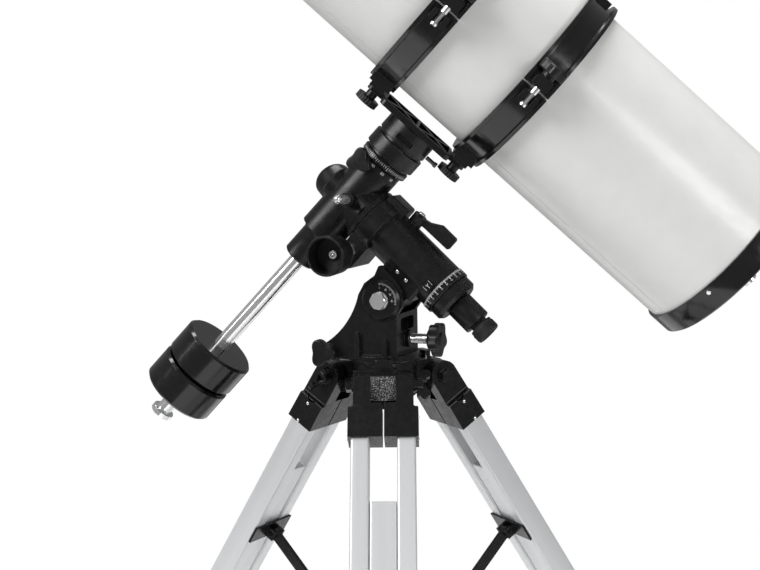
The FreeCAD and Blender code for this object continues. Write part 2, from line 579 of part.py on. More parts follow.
def counterweight(number):
    near = WEIGHT_AT[number]
    far = near + WEIGHT_LONG
    body = turned([(BAR_R + 0.3, -far), (WEIGHT_R - 3, -far), (WEIGHT_R, -far + 3), (WEIGHT_R, -near - 3),
                   (WEIGHT_R - 3, -near), (BAR_R + 0.3, -near)])
    hole = moved(rod(5 + RUN, 5, 60), Placement(V(0, 0, -near - WEIGHT_LONG / 2), Rotation(Z, Y)))
    return moved(along(X, body.cut(hole)), TURNED)


def weight_screw(number):
    """The hand screw that locks a counterweight on its bar."""
    middle = -WEIGHT_AT[number] - WEIGHT_LONG / 2
    screw = fused(rod(5, BAR_R + 0.5, 58), rod(11, 50, 64))
    return moved(screw, TURNED.multiply(Placement(V(middle, 0, 0), Rotation(Z, Y))))


# ---------------------------------------------------------------- declination axis and cradle
def dec_shaft():
    shaft = rod(DEC_SHAFT_R, -62.5, PLATE_LOW - 12)
    wheel = pipe(DEC_WHEEL_R, DEC_SHAFT_R, DEC_WORM_AT - 6.5, DEC_WORM_AT + 6.5)
    teeth = [turned_by(shifted(rod(0.9, -30, 0), DEC_WHEEL_R + 0.3), Z, 6 * k) for k in range(60)]
    return moved(group(shaft, wheel.cut(Part.makeCompound(teeth))), DEC)


def dec_head():
    """The setting circle, and the head that carries the mounting plate."""
    bore, top = DEC_SHAFT_R + RUN, PLATE_LOW - 0.1
    circle = turned([(bore, 57.6), (32, 57.6), (33, 58.6), (33, 65), (32, 66), (bore, 66)])
    head = turned([(bore, 66.2), (30, 66.2), (30, 70), (34.5, 70), (35, 70.5), (35, 88.5), (34.5, 89), (30, 89),
                   (30, 93), (33.5, 93), (34, 93.5), (34, top), (0, top), (0, top - 11.8), (bore, top - 11.8)])
    slot = block(-12, 12, -40, -28, 98, 105)
    stub = moved(fused(rod(2.6, 34.1, 47), rod(3.4, 46, 50)), Placement(V(0, -12, 101), Rotation(Z, X)))
    return moved(group(circle, head.cut(slot), stub), CRADLE)


def mounting_plate():
    """A cast plate whose upper face is a lattice of ribs, with a narrow tongue under each ring."""
    top = PLATE_LOW + PLATE_THICK
    half = PLATE_WIDTH / 2
    plate = rounded(block(-PLATE_HALF, PLATE_HALF, -half, half, PLATE_LOW, top), 8, edge_runs(Z))
    plate = plate.makeFillet(1.2, [e for e in plate.Edges if e.BoundBox.ZLength < 1e-6])
    tongue = block(-TONGUE_HALF, TONGUE_HALF, -TONGUE_WIDTH / 2, TONGUE_WIDTH / 2, top - TONGUE_THICK, top)
    plate = fused(plate, rounded(tongue, 7, edge_runs(Z)))
    wall, rib, low = 4.5, 2.2, PLATE_LOW + 3
    x0, x1 = 2, PLATE_HALF - wall
    xm, y1 = (x0 + x1) / 2, half - wall
    for side in (-1, 1):
        pockets = [[(x0 + rib, -y1), (x1 - rib, -y1), (xm, -2 * rib)],
                   [(x0 + rib, y1), (xm, 2 * rib), (x1 - rib, y1)],
                   [(x0, -y1 + 2 * rib), (xm - 2 * rib, 0), (x0, y1 - 2 * rib)],
                   [(x1, -y1 + 2 * rib), (x1, y1 - 2 * rib), (xm + 2 * rib, 0)]]
        for pocket in pockets:
            plate = plate.cut(sheet([(side * x, y) for x, y in pocket], low, top + 1))
        plate = plate.cut(shifted(rod(4 + RUN, PLATE_LOW - 1, top + 1), side * RING_SPACING))
    return moved(plate, CRADLE)


def fixing_knobs():
    """Grooved knobs under the plate whose studs hold the two rings."""
    shapes = []
    for side in (-1, 1):
        top = PLATE_LOW + PLATE_THICK
        knob = fused(rod(4, 99, top + 8), rod(15, 100, 108), rod(7, 108, top - TONGUE_THICK - 0.1))
        for k in range(24):
            knob = knob.cut(turned_by(shifted(rod(1.2, 99, 109), 15.4), Z, 15 * k))
        shapes.append(shifted(knob, side * RING_SPACING))
    return moved(group(*shapes), CRADLE)


def channel_ring():
    """A full ring of U section, about X, open outwards."""
    outer, half = RING_R + RING_WALL, RING_WIDTH / 2
    profile = [(RING_R, -half), (outer, -half), (outer, -half + 4.5), (RING_R + 3.5, -half + 5.5),
               (RING_R + 3.5, half - 5.5), (outer, half - 4.5), (outer, half), (RING_R, half)]
    return along(X, turned(profile))


def ring_lower(x):
    half, out = RING_WIDTH / 2, HINGE_OUT
    ring = channel_ring().common(block(-60, 60, -200, 200, -200, -1))
    low = PLATE_LOW + PLATE_THICK - TUBE_AXIS + 0.1
    foot = fused(block(-10.5, 10.5, -27, 27, low, low + 9), block(-15, 15, -33, 33, low + 6, low + 22))
    foot = foot.cut(along(X, rod(RING_R, -60, 60)))
    lug = rounded(block(-11, 11, -out - 16, -RING_R - 1, -19, -4.5), 3, edge_runs(Y))
    lug = lug.cut(block(-5, 5, -out - 20, -out - 6, -30, 0)).cut(shifted(rod(5, -30, 0), 0, -out - 6))
    web = block(-11, 11, RING_R + 1, out - 2, -24, -10)
    shapes = [ring, foot, lug, web]
    for low in (-half, half - 12):
        shapes.append(shifted(along(X, rod(7, low, low + 12)), 0, out, 0))
        shapes.append(block(low, low + 12, RING_R + 3, out + 7, -22, 0))
    body = fused(*shapes).cut(shifted(along(X, rod(3 + RUN, -60, 60)), 0, out, 0))
    body = body.cut(block(-half + 11.7, half - 11.7, out - 8, out + 9, -8, 12))
    body = body.cut(rod(4 + RUN, -140, -125.5))
    pin = shifted(along(X, rod(3, -half - 1, half + 1)), 0, out, 0)
    return [shifted(body, x), shifted(pin, x)]


def rings_lower():
    return moved(group(*(s for side in (-1, 1) for s in ring_lower(side * RING_SPACING))), TUBE)


def ring_top(side):
    half, out = RING_WIDTH / 2, HINGE_OUT
    ring = channel_ring().common(block(-60, 60, -200, 200, 1, 200))
    knuckle = shifted(along(X, rod(7, -half + 12.3, half - 12.3)), 0, out, 0)
    arm = block(-half + 12.3, half - 12.3, RING_R + 3, out, 1, 16)
    lug = rounded(block(-11, 11, -out - 16, -RING_R - 1, 4.5, 19), 3, edge_runs(Y))
    pad = block(-9, 9, -12, 12, RING_R + 2, RING_R + RING_WALL)
    body = fused(ring, knuckle, arm, lug, pad)
    body = body.cut(shifted(along(X, rod(3 + RUN, -60, 60)), 0, out, 0))
    body = body.cut(shifted(rod(4 + RUN, 0, 30), 0, -out - 6))
    knuckle_end = half - 12.3
    for low, high in ((-60, -knuckle_end), (knuckle_end, 60)):
        body = body.cut(block(low, high, out - 8, out + 9, -8, 12))
    return moved(shifted(body, side * RING_SPACING), TUBE)


def ring_knob(side):
    """The clamp screw: a captive bolt through both lugs, turned by a lobed knob."""
    knob = fused(rod(4, -22, 30), rod(8, 19.2, 24), lobed(4, 14, 2.5, 24, 36))
    return moved(shifted(knob, side * RING_SPACING, -HINGE_OUT - 6), TUBE)


# ---------------------------------------------------------------- optical tube
TUBE_FRONT = TUBE_REAR - TUBE_LENGTH
MOUTH_R, MOUTH_DEEP = 111.0, 21.0   # bore of the front ring
MIRROR_FACE = 345.0      # front face of the primary mirror


def focuser_place():
    return round_tube(FOCUSER_ANGLE).multiply(Placement(V(FOCUSER_X, 0, 0), Rotation()))


def optical_tube():
    tube = along(X, pipe(TUBE_R, TUBE_R - TUBE_WALL, TUBE_FRONT, TUBE_REAR))
    hole = turned_by(shifted(rod(27, 60, 140), FOCUSER_X), X, FOCUSER_ANGLE)
    return moved(tube.cut(hole), TUBE)


def front_ring():
    """A ring that grips the tube's edge from both sides; a dust cap plugs into it."""
    front, inside = TUBE_FRONT - 6, TUBE_R - TUBE_WALL - RUN
    ring = turned([(MOUTH_R, front), (117, front), (118.5, front + 1.5), (118.5, front + 20), (118, front + 21),
                   (TUBE_R + RUN, front + 21), (TUBE_R + RUN, front + 5.9), (inside, front + 5.9),
                   (inside, front + MOUTH_DEEP), (MOUTH_R, front + MOUTH_DEEP)])
    return moved(along(X, ring), TUBE)


def mirror_cell():
    """The cast rear ring with its plate, the mirror's tray and three spring-loaded adjusting screws."""
    rear = TUBE_REAR
    bore = TUBE_R + RUN
    ring = turned([(bore, rear - 20), (118, rear - 20), (118.5, rear - 19), (118.5, rear + 8), (116, rear + 10),
                   (98, rear + 10), (98, rear + 4), (108, rear + 0.1), (bore, rear + 0.1)])
    shapes = [ring]
    for k in range(3):
        arm = block(20, 104, -13, 13, rear + 4, rear + 10)
        shapes.append(turned_by(arm, Z, 120 * k + 30))
    shapes.append(pipe(34, 22, rear + 4, rear + 10))
    plate = fused(*shapes)
    back = MIRROR_FACE + MIRROR_THICK
    lip = MIRROR_R + 0.1
    support = turned([(0, back + 0.1), (lip, back + 0.1), (lip, back - 8), (105, back - 8), (105, back + 6),
                      (0, back + 6)])
    parts = []
    for k in range(3):
        a = math.radians(120 * k + 30)
        at = V(76 * math.cos(a), 76 * math.sin(a), 0)
        hole = shifted(rod(3, back - 1, rear + 20), at.x, at.y)
        plate = plate.cut(hole)
        support = support.cut(shifted(rod(3, back + 1, back + 9), at.x, at.y))
        screw = fused(rod(3, back + 1.2, rear + 12), rod(9, rear + 12, rear + 22), rod(6, rear + 10.1, rear + 12))
        spring = pipe(7, 3.2, back + 6.1, rear + 3.9)
        parts += [shifted(screw, at.x, at.y), shifted(spring, at.x, at.y)]
    return moved(along(X, group(plate, support, *parts)), TUBE)


def primary_mirror():
    disc = rod(MIRROR_R, MIRROR_FACE, MIRROR_FACE + MIRROR_THICK)
    curve = 2000.0       # radius of the hollow face: twice the focal length
    ball = Part.makeSphere(curve, V(0, 0, MIRROR_FACE - math.sqrt(curve ** 2 - MIRROR_R ** 2)))
    return moved(along(X, disc.cut(ball)), TUBE)


def secondary_cut(depth):
    """The half space behind the 45 degree face, so far behind it."""
    box = block(-200, 200, -200, 200, -400, -depth)
    return moved(box, Placement(V(FOCUSER_X, 0, 0), Rotation(Y, 45)))


def spider():
    """Four thin vanes, their hub, and the holder of the diagonal mirror."""
    shapes = [along(X, rod(14, FOCUSER_X - 62, FOCUSER_X - 26))]
    for k in range(4):
        vane = block(FOCUSER_X - 60, FOCUSER_X - 36, -0.6, 0.6, 10, TUBE_R - TUBE_WALL - 0.3)
        shapes.append(turned_by(vane, X, 90 * k + 5))
    hub = fused(*shapes)
    holder = along(X, rod(22, FOCUSER_X - 25.8, FOCUSER_X + 30)).common(secondary_cut(8.2))
    return moved(group(hub, holder), round_tube(FOCUSER_ANGLE))


def secondary_mirror():
    glass = along(X, rod(23.5, FOCUSER_X - 60, FOCUSER_X + 60)).common(secondary_cut(0)).cut(secondary_cut(8))
    return moved(glass, round_tube(FOCUSER_ANGLE))


PINION_X, PINION_Z, PINION_R = 31.0, 144.0, 6.0
DRAW_R, DRAW_BORE = 25.4, 15.9


def focuser_body():
    base = block(-42, 42, -38, 38, 100, 124)
    base = rounded(base, 8, edge_runs(Z))
    base = fused(base, turned([(0, 118), (36, 118), (34, 128), (33, 160), (30, 164), (0, 164)]),
                 rounded(block(20, 42, -20, 20, 120, 154), 4, edge_runs(Y)))
    base = base.cut(along(X, rod(TUBE_R + RUN, -100, 100))).cut(rod(DRAW_R + RUN, 90, 200))
    base = base.cut(shifted(along(Y, rod(PINION_R + 0.4, -14, 14)), PINION_X, 0, PINION_Z))
    base = base.cut(shifted(along(Y, rod(3 + RUN, -60, 60)), PINION_X, 0, PINION_Z))
    return moved(base, focuser_place())


def drawtube():
    tube = turned([(DRAW_R - 1.6, 104), (DRAW_R, 104), (DRAW_R, 178), (28, 178), (29, 179), (29, 196), (28, 197),
                   (20, 197), (20, 214), (19, 215), (DRAW_BORE, 215), (DRAW_BORE, 186), (DRAW_R - 1.6, 186)])
    tube = tube.cut(block(DRAW_R - 0.9, 40, -6, 6, 90, 170))
    screw = fused(rod(2, 16.5, 26), rod(5, 26, 34))
    holes = moved(rod(2 + RUN, 14, 30), Placement(V(0, 0, 207), Rotation(Z, Y)))
    return moved(group(tube.cut(holes), moved(screw, Placement(V(0, 0, 207), Rotation(Z, Y)))), focuser_place())


def focus_knobs():
    shaft = fused(rod(3, -62, 62), rod(PINION_R, -12, 12))
    shapes = [shaft]
    for side in (-1, 1):
        wheel = turned([(0, 42), (9, 42), (16, 44), (17, 46), (17, 58), (16, 60), (0, 60)])
        for k in range(24):
            wheel = wheel.cut(turned_by(shifted(rod(0.9, 45, 59), 17.4), Z, 15 * k))
        shapes.append(moved(wheel, Placement(V(), Rotation(Z, Z * side))))
    knobs = along(Y, fused(*shapes))
    return moved(shifted(knobs, PINION_X, 0, PINION_Z), focuser_place())


def eyepiece():
    """Barrel, body and rubber eye guard, with a lens at each end."""
    barrel = DRAW_BORE - RUN
    shell = turned([(13.5, 190), (barrel, 190), (barrel, 215.2), (19, 215.2), (20, 216), (20, 238), (18, 242),
                    (18, 252), (17, 254), (11, 254), (11, 250), (13.5, 244)])
    return moved(group(shell, rod(13.4, 196, 200), rod(10.9, 249, 252)), focuser_place())


FINDER_X, FINDER_Z = -320.0, 162.0


def finder_place():
    return round_tube(FINDER_ANGLE).multiply(Placement(V(FINDER_X, 0, 0), Rotation()))


def finder_bracket():
    shoe = rounded(block(-34, 34, -18, 18, 105, 123), 4, edge_runs(Z)).cut(along(X, rod(TUBE_R + RUN, -90, 90)))
    stalk = block(-47, 47, -6, 6, 122, FINDER_Z - 24)
    shapes = [shoe, stalk.cut(shifted(along(Y, rod(11, -10, 10)), 0, 0, 134))]
    screws = []
    for x in (-42, 42):
        hoop = shifted(along(X, pipe(27, 22, -5, 5)), x, 0, FINDER_Z)
        for k in range(3):
            place = Placement(V(x, 0, FINDER_Z), Rotation(X, 120 * k))
            hoop = hoop.cut(moved(rod(2, 10, 30), place))
            screws.append(moved(fused(rod(2, 17.2, 34), rod(5, 30, 38)), place))
        shapes.append(hoop)
    return moved(group(fused(*shapes), *screws), finder_place())


def finder_scope():
    """A small refractor: objective bell, straight tube and eyepiece, with its lenses."""
    shell = turned([(15, -112), (20, -112), (21, -111), (21, -72), (17, -62), (17, 70), (14, 74), (14, 92),
                    (12, 96), (9, 96), (9, 88), (15, 62), (15, -60)])
    lenses = [rod(14.9, -106, -101), rod(8.9, 90, 93)]
    scope = group(shell, *lenses)
    return moved(along(X, scope), finder_place().multiply(Placement(V(0, 0, FINDER_Z), Rotation())))


# ---------------------------------------------------------------- nodes
def build():
    nodes = {"tripod_head": tripod_head(), "head_fittings": head_fittings(), "leg_hinge_bolts": hinge_bolts()}
    for k, name in enumerate(LEG_NAMES):
        nodes["leg_bracket_" + name] = leg_bracket(k)
        nodes["leg_rails_" + name] = leg_rails(k)
        nodes["leg_inner_" + name] = leg_inner(k)
        nodes["brace_arm_" + name] = brace(k)
    nodes["accessory_tray"] = tray()
    nodes.update({
        "mount_base": mount_base(), "azimuth_screw_near": azimuth_bolt(-1), "azimuth_screw_far": azimuth_bolt(1),
        "latitude_axle": latitude_axle(), "latitude_screw": latitude_screw(),
        "ra_housing": ra_housing(), "ra_circle": ra_circle(), "polar_scope": polar_scope(),
        "polar_eyepiece": polar_eyepiece(), "ra_worm": ra_worm(), "ra_knob": ra_knob(), "ra_lever": ra_lever(),
        "dec_housing": dec_housing(), "ra_shaft": ra_shaft(), "counterweight_bar": counterweight_bar(),
        "dec_worm": dec_worm(), "dec_knob": dec_knob(), "dec_clamp_knob": dec_clamp_knob(),
        "counterweight_inner": counterweight(0), "counterweight_outer": counterweight(1),
        "weight_screw_inner": weight_screw(0), "weight_screw_outer": weight_screw(1),
        "dec_shaft": dec_shaft(), "dec_head": dec_head(), "mounting_plate": mounting_plate(),
        "ring_fixing_knobs": fixing_knobs(), "tube_rings_lower": rings_lower(),
        "ring_top_front": ring_top(-1), "ring_top_rear": ring_top(1),
        "ring_knob_front": ring_knob(-1), "ring_knob_rear": ring_knob(1),
        "optical_tube": optical_tube(), "front_ring": front_ring(), "mirror_cell": mirror_cell(),
        "primary_mirror": primary_mirror(), "spider": spider(), "secondary_mirror": secondary_mirror(),
        "focuser_body": focuser_body(), "drawtube": drawtube(), "focus_knobs": focus_knobs(),
        "eyepiece": eyepiece(), "finder_bracket": finder_bracket(), "finder_scope": finder_scope(),
    })
    return nodes


NODES = build()
os.makedirs("parts", exist_ok=True)
for name, shape in NODES.items():
    shape.exportStep("parts/" + name + ".step")
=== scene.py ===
import json
import math

import bmesh
import bpy
from mathutils import Matrix, Vector


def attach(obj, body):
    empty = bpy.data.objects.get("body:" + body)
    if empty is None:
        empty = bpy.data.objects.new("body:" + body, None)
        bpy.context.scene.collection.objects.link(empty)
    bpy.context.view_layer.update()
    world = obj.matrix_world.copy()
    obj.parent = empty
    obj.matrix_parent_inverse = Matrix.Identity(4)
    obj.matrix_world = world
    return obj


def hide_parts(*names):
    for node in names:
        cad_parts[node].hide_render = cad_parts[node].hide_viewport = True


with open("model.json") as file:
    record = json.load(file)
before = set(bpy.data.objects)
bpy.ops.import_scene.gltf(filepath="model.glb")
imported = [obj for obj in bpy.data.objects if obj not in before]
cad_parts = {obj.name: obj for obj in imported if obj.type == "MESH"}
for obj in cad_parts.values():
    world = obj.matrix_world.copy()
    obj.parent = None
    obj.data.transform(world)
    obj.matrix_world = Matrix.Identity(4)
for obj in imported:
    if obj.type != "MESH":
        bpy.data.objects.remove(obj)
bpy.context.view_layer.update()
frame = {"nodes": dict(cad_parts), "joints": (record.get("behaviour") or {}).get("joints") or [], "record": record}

# The looks of a Newtonian reflector on its equatorial mount, in metres.
# Lengths inside a piece's own frame are in millimetres.
MM = 0.001
NODES = frame["nodes"]
RECORD = frame["record"]
JOINTS = {joint["name"]: joint for joint in frame["joints"]}
BODY_OF = {node: body for body, nodes in RECORD["behaviour"]["bodies"].items() for node in nodes}
LEGS = ("north", "front", "rear")
WELD = 2e-6           # points of a CAD shape this close, in metres, are one
CAD_SHARP = 33.0      # an edge of a CAD shape is sharp past this angle, in degrees
NEAR = 0.05           # how far off a stated surface a face may be when its finish is picked
SHANK_R = 4.2         # the hand screws' bare shanks lie inside this radius
PRINT_HIGH = 0.1      # height of printed marks over their surface
CLOUDS, PATCHES, WEAR_AND_HIGHLIGHT = 35, 120, 260   # features a metre: of tone, of gloss and of edges lightened partly as wear and partly as a painted highlight


# ---------------------------------------------------------------- frames of the mechanism
def place(joint):
    return Vector(JOINTS[joint]["pos_m"])


def axis(joint):
    return Vector(JOINTS[joint]["axis"]).normalized()


def axes(origin, x=None, y=None, z=None):
    """A frame from its origin and two of its three axes."""
    x = x or y.cross(z)
    y = y or z.cross(x)
    z = z or x.cross(y)
    matrix = Matrix((x, y, z)).transposed().to_4x4()
    matrix.translation = origin
    return matrix


def pointing(matrix, origin, direction):
    """Inside a frame: at a point given in millimetres, z along a direction."""
    turn = Vector(direction).to_track_quat("Z", "Y").to_matrix().to_4x4()
    return matrix @ Matrix.Translation(Vector(origin) * MM) @ turn


SOUTH, EAST, UP = Vector((1, 0, 0)), Vector((0, 1, 0)), Vector((0, 0, 1))
BASE = axes(place("azimuth"), y=EAST, z=UP)
PIVOT = axes(place("latitude"), y=EAST, z=UP)
POLAR = axes(place("polar_axis"), y=EAST, z=axis("polar_axis"))
TURNED = axes(place("polar_axis"), x=axis("declination_axis"), z=axis("polar_axis"))
DEC = axes(place("declination_axis"), x=-axis("polar_axis"), z=axis("declination_axis"))
TUBE = axes(place("tube_turn"), x=axis("tube_turn"), z=axis("declination_axis"))
FOCUSER = axes(place("focus"), y=axis("focus"), z=axis("drawtube"))
# On the drawtube's axis, which the pinion stands beside, with its height measured from the tube's axis.
OPTIC = FOCUSER @ Matrix.Translation((-31 * MM, 0, -144 * MM))
LATITUDE_SCREW = axes(place("latitude_screw"), y=EAST, z=SOUTH)
RA_WORM = axes(place("ra_slow_motion"), x=-axis("polar_axis"), z=-EAST)
DEC_WORM = axes(place("dec_slow_motion"), x=axis("declination_axis"), z=axis("dec_slow_motion"))
LEG = {n: axes(place("leg_fold_" + n), y=axis("leg_fold_" + n), z=axis("leg_extend_" + n))
       for n in LEGS}


# ---------------------------------------------------------------- materials
class Graph:
    """A material with one Principled shader, patterned in the piece's own coordinates."""

    def __init__(self, name):
        self.material = bpy.data.materials.new(name)
        self.material.use_nodes = True
        self.tree = self.material.node_tree
        self.shader = self.tree.nodes["Principled BSDF"]
        self.local = self.add("ShaderNodeAttribute", attribute_name="local").outputs["Vector"]

    def add(self, kind, **settings):
        node = self.tree.nodes.new(kind)
        for key, value in settings.items():
            setattr(node, key, value)
        return node

    def link(self, source, target):
        self.tree.links.new(source, target)

    def noise(self, scale, detail=2.0, stretch=(1, 1, 1)):
        """Noise with so many features a metre, before any stretch."""
        mapping = self.add("ShaderNodeMapping")
        mapping.inputs["Scale"].default_value = [scale * s for s in stretch]
        self.link(self.local, mapping.inputs["Vector"])
        texture = self.add("ShaderNodeTexNoise")
        texture.inputs["Scale"].default_value = 1.0
        texture.inputs["Detail"].default_value = detail
        self.link(mapping.outputs["Vector"], texture.inputs["Vector"])
        return texture.outputs["Fac"]

    def span(self, value, low, high, start=0.3, end=0.7):
        node = self.add("ShaderNodeMapRange")
        settings = {"From Min": start, "From Max": end, "To Min": low, "To Max": high}
        for key, number in settings.items():
            node.inputs[key].default_value = number
        self.link(value, node.inputs["Value"])
        return node.outputs["Result"]

    def times(self, a, b):
        node = self.add("ShaderNodeMath", operation="MULTIPLY")
        self.link(a, node.inputs[0])
        self.link(b, node.inputs[1])
        return node.outputs["Value"]

    def blend(self, factor, a, b):
        """From colour a to colour b; each is a triple or another node's colour."""
        node = self.add("ShaderNodeMix", data_type="RGBA")
        self.link(factor, node.inputs["Factor"])
        for socket, colour in ((node.inputs[6], a), (node.inputs[7], b)):
            if isinstance(colour, tuple):
                socket.default_value = (*colour, 1.0)
            else:
                self.link(colour, socket)
        return node.outputs[2]


def finish(name, colour, rough, peel, height, metal=0.0, coat=0.0, swing=0.06, mottle=0.18,
           wear_and_highlight=None, edge=0.4 * MM, stretch=(1, 1, 1), specular=0.5):
    """A finish with cloudy tone, uneven gloss, fine surface relief and soft edges that may be lightened in
    patches, partly as wear and partly as a painted highlight.
    """
    g = Graph(name)
    inputs = g.shader.inputs
    inputs["Metallic"].default_value = metal
    inputs["Coat Weight"].default_value = coat
    inputs["Coat Roughness"].default_value = 0.08
    inputs["Specular IOR Level"].default_value = specular
    dark = tuple(c * (1 - mottle) for c in colour)
    light = tuple(c * (1 + mottle) for c in colour)
    tone = g.blend(g.span(g.noise(CLOUDS, 4.0, stretch), 0, 1), dark, light)
    soft = g.add("ShaderNodeBevel", samples=4)
    soft.inputs["Radius"].default_value = edge
    # Painted highlight along the edges, partly wear: the colour is lightened wherever the soft edge's normal turns
    # away from the face's, broken into patches.
    if wear_and_highlight:
        flat = g.add("ShaderNodeNewGeometry")
        facing = g.add("ShaderNodeVectorMath", operation="DOT_PRODUCT")
        g.link(soft.outputs["Normal"], facing.inputs[0])
        g.link(flat.outputs["Normal"], facing.inputs[1])
        on_edge = g.span(facing.outputs["Value"], 1.0, 0.0, 0.88, 0.99)
        tone = g.blend(g.times(on_edge, g.span(g.noise(WEAR_AND_HIGHLIGHT), 0, 1, 0.42, 0.62)), tone, wear_and_highlight)
    g.link(tone, inputs["Base Color"])
    g.link(g.span(g.noise(PATCHES, 3.0, stretch), rough - swing, rough + swing), inputs["Roughness"])
    relief = g.add("ShaderNodeBump")
    relief.inputs["Distance"].default_value = height
    relief.inputs["Strength"].default_value = 1.0
    g.link(g.noise(peel, 2.0, stretch), relief.inputs["Height"])
    g.link(soft.outputs["Normal"], relief.inputs["Normal"])
    g.link(relief.outputs["Normal"], inputs["Normal"])
    return g.material


def speckled():
    """Bare rough casting: pale metal grains in dark pits."""
    g = Graph("bare_rough_casting")
    inputs = g.shader.inputs
    grains = g.span(g.noise(760, 1.0), 0, 1, 0.53, 0.62)
    g.link(g.blend(grains, (0.008, 0.008, 0.009), (0.5, 0.5, 0.51)), inputs["Base Color"])
    g.link(g.span(grains, 0.6, 0.35, 0, 1), inputs["Roughness"])
    g.link(g.span(grains, 0.0, 0.8, 0, 1), inputs["Metallic"])
    relief = g.add("ShaderNodeBump")
    relief.inputs["Distance"].default_value = 0.25 * MM
    g.link(grains, relief.inputs["Height"])
    g.link(relief.outputs["Normal"], inputs["Normal"])
    return g.material


def glass():
    g = Graph("coated_glass")
    inputs = g.shader.inputs
    inputs["Base Color"].default_value = (0.05, 0.045, 0.07, 1.0)
    inputs["Coat Weight"].default_value = 1.0
    inputs["Coat Roughness"].default_value = 0.02
    g.link(g.span(g.noise(60, 3.0), 0.02, 0.07), inputs["Roughness"])
    return g.material


CASTING = finish("satin_black_casting", (0.0075, 0.0075, 0.008), 0.29, 780, 0.045 * MM, swing=0.07,
                 wear_and_highlight=(0.09, 0.09, 0.095), edge=0.6 * MM, specular=0.3)
BLACK_GLOSS = finish("gloss_black_paint", (0.005, 0.005, 0.0055), 0.16, 420, 0.012 * MM, coat=0.15,
                     swing=0.05, wear_and_highlight=(0.08, 0.08, 0.085))
PLASTIC = finish("moulded_black_plastic", (0.0075, 0.0075, 0.008), 0.33, 1500, 0.02 * MM,
                 swing=0.08, wear_and_highlight=(0.06, 0.06, 0.062), edge=0.7 * MM, specular=0.28)
RUBBER = finish("black_rubber", (0.014, 0.014, 0.014), 0.62, 900, 0.05 * MM, swing=0.1, specular=0.3)
FLAT_BLACK = finish("flat_black_lining", (0.006, 0.006, 0.006), 0.85, 1500, 0.05 * MM, specular=0.15)
FELT = finish("black_felt", (0.012, 0.012, 0.013), 0.95, 2600, 0.2 * MM, mottle=0.5, specular=0.1)
CHROME = finish("polished_chrome", (0.90, 0.90, 0.91), 0.13, 300, 0.0003 * MM, metal=0.85,
                swing=0.03, mottle=0.03, edge=0.3 * MM)
RAIL = finish("satin_anodised_rail", (0.70, 0.71, 0.72), 0.38, 2600, 0.004 * MM, metal=0.35,
              mottle=0.05, stretch=(1, 1, 0.02), edge=0.3 * MM)
ENAMEL = finish("white_enamel", (0.72, 0.72, 0.71), 0.34, 260, 0.02 * MM, coat=0.08, swing=0.05,
                mottle=0.02)
PRINT = finish("white_scale_print", (0.80, 0.80, 0.79), 0.5, 2500, 0.01 * MM, mottle=0.12)
BRIGHT_RING = finish("turned_bright_metal", (0.55, 0.55, 0.56), 0.3, 2600, 0.004 * MM, metal=1.0,
                     mottle=0.1)
DARK_STEEL = finish("blued_steel", (0.13, 0.13, 0.135), 0.24, 900, 0.002 * MM, metal=1.0,
                    mottle=0.1)
BARE = speckled()
GLASS = glass()
MIRROR = finish("aluminised_mirror", (0.90, 0.91, 0.92), 0.03, 300, 0.0002 * MM, metal=1.0,
                swing=0.01, mottle=0.01)
MIRROR_EDGE = finish("ground_glass_edge", (0.35, 0.42, 0.40), 0.55, 1200, 0.02 * MM, mottle=0.08)


# ---------------------------------------------------------------- pieces
def mark_local(mesh, matrix):
    """Stores each point's place in the piece's own frame, which the materials' patterns follow."""
    inverse = matrix.inverted()
    local = mesh.attributes.new("local", "FLOAT_VECTOR", "POINT")
    for point, vertex in zip(local.data, mesh.vertices):
        point.vector = inverse @ vertex.co


def piece(name, bm, matrix, material, body, sharp=30.0):
    """A mesh built in a frame, in millimetres, as an object that rides on a body."""
    mesh = bpy.data.meshes.new(name)
    bmesh.ops.recalc_face_normals(bm, faces=bm.faces)
    bm.to_mesh(mesh)
    bm.free()
    mesh.transform(matrix @ Matrix.Scale(MM, 4))
    mesh.materials.append(material)
    mesh.polygons.foreach_set("use_smooth", [True] * len(mesh.polygons))
    mesh.set_sharp_from_angle(angle=math.radians(sharp))
    mark_local(mesh, matrix)
    obj = bpy.data.objects.new(name, mesh)
    bpy.context.scene.collection.objects.link(obj)
    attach(obj, body)
    return obj


def dress(node, matrix, base, *rules):
    """Stands for a CAD node: its own shape, with a finish picked face by face.

    Each rule is a material and a test of a face's centre, in millimetres in the frame given."""
    bm = bmesh.new()
    bm.from_mesh(NODES[node].data)
    bmesh.ops.remove_doubles(bm, verts=bm.verts, dist=WELD)
    mesh = bpy.data.meshes.new(node + "_looks")
    bm.to_mesh(mesh)
    bm.free()
    for name in ("custom_normal", "sharp_edge", "sharp_face"):
        if name in mesh.attributes:
            mesh.attributes.remove(mesh.attributes[name])
    mesh.materials.clear()
    for material in (base, *(rule[0] for rule in rules)):
        mesh.materials.append(material)
    inverse = Matrix.Scale(1 / MM, 4) @ matrix.inverted()
    for face in mesh.polygons:
        centre = inverse @ face.center
        face.material_index = next((k + 1 for k, rule in enumerate(rules) if rule[1](centre)), 0)
        face.use_smooth = True
    mesh.set_sharp_from_angle(angle=math.radians(CAD_SHARP))
    mark_local(mesh, matrix)
    obj = bpy.data.objects.new(node + "_looks", mesh)
    bpy.context.scene.collection.objects.link(obj)
    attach(obj, BODY_OF[node])
    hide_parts(node)


def turned(radius, angle, height):
    return Vector((radius * math.cos(angle), radius * math.sin(angle), height))


def band(bm, one, two):
    """The faces between two closed rings of as many points."""
    for k in range(len(one)):
        n = (k + 1) % len(one)
        bm.faces.new((one[k], one[n], two[n], two[k]))


